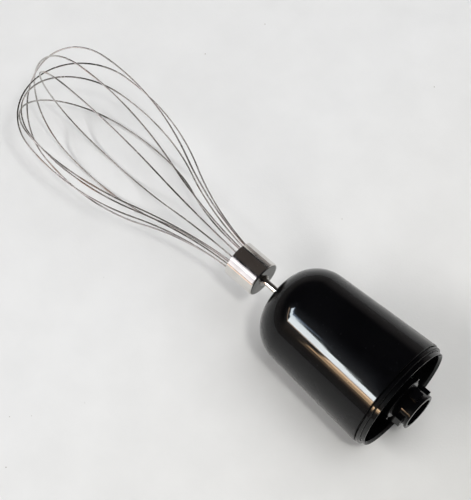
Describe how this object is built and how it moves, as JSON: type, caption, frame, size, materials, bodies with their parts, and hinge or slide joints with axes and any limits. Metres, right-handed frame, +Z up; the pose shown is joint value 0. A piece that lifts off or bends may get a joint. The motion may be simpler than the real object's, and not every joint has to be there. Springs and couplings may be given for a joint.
{
  "type": "whisk attachment",
  "caption": "Balloon whisk attachment of a hand blender: glossy black gearbox housing with a coupling mouth, steel drive rod, polished ferrule and thin wire loops.",
  "frame": {"origin": "middle of the bounding box at its base: the plane Z = 0 is the table it lies on", "axes": "+X along the attachment from the wire balloon towards the coupling mouth (the axis of turning dips 1.6 degrees towards +X, because it lies on its rim and its lowest wires), +Y to the side, +Z up"},
  "size_m": [0.2696, 0.0692, 0.0718],
  "materials": {
    "shell": "high-gloss black moulding",
    "frame": "glossy black moulding",
    "case": "natural glass-filled nylon",
    "gear_plastic": "natural acetal",
    "gear_steel": "sintered steel",
    "carrier": "sintered steel, hub turned",
    "bush": "sintered bronze",
    "washer": "spring steel",
    "screw": "zinc plated",
    "socket": "dark glass-filled nylon",
    "seal": "soft black rubber",
    "rod": "ground stainless steel",
    "ferrule": "polished stainless steel",
    "core": "cast resin plug",
    "wire": "bright drawn stainless wire"
  },
  "bodies": {
    "housing": {"outer_shell": "shell", "coupling_frame": "frame", "gear_case": "case", "ring_gear": "gear_plastic", "case_screws": "screw", "input_bearing": "bush", "output_bush": "bush", "thrust_washer": "washer", "nose_seal": "seal"},
    "input": {"drive_socket": "socket", "drive_shaft": "rod", "shaft_ring": "washer", "sun_gear": "gear_steel"},
    "carrier": {"planet_carrier": "carrier", "carrier_plate": "carrier", "planet_pins": "rod", "hub_ring": "washer", "detent_ring": "washer"},
    "planet_1": {"planet_gear_1": "gear_plastic"},
    "planet_2": {"planet_gear_2": "gear_plastic"},
    "planet_3": {"planet_gear_3": "gear_plastic"},
    "whisk": {"whisk_shaft": "rod", "rod_collar": "rod", "ferrule": "ferrule", "wire_core": "core", "whisk_loop_1": "wire", "whisk_loop_2": "wire", "whisk_loop_3": "wire", "whisk_loop_4": "wire", "whisk_loop_5": "wire", "whisk_loop_6": "wire"}
  },
  "joints": [
    {"name": "carrier_spin", "type": "hinge", "parent": "housing", "child": "carrier", "pos_m": [0.06507, -0.00212, 0.03153], "axis": [0.9996, 0, -0.0279], "continuous": true},
    {"name": "input_spin", "type": "hinge", "parent": "housing", "child": "input", "pos_m": [0.11105, -0.00212, 0.03025], "axis": [0.9996, 0, -0.0279], "continuous": true},
    {"name": "planet_spin_1", "type": "hinge", "parent": "carrier", "child": "planet_1", "pos_m": [0.09235, -0.00212, 0.04127], "axis": [0.9996, 0, -0.0279], "continuous": true},
    {"name": "planet_spin_2", "type": "hinge", "parent": "carrier", "child": "planet_2", "pos_m": [0.09191, 0.00697, 0.02553], "axis": [0.9996, 0, -0.0279], "continuous": true},
    {"name": "planet_spin_3", "type": "hinge", "parent": "carrier", "child": "planet_3", "pos_m": [0.09191, -0.01122, 0.02553], "axis": [0.9996, 0, -0.0279], "continuous": true},
    {"name": "whisk_pull_off", "type": "slide", "parent": "carrier", "child": "whisk", "axis": [-0.9996, 0, 0.0279], "range_m": [0, 0.03]}
  ],
  "couplings": [
    {"joint": "input_spin", "follows": "carrier_spin", "ratio": 5},
    {"joint": "planet_spin_1", "follows": "carrier_spin", "ratio": -2.6667},
    {"joint": "planet_spin_2", "follows": "carrier_spin", "ratio": -2.6667},
    {"joint": "planet_spin_3", "follows": "carrier_spin", "ratio": -2.6667}
  ]
}
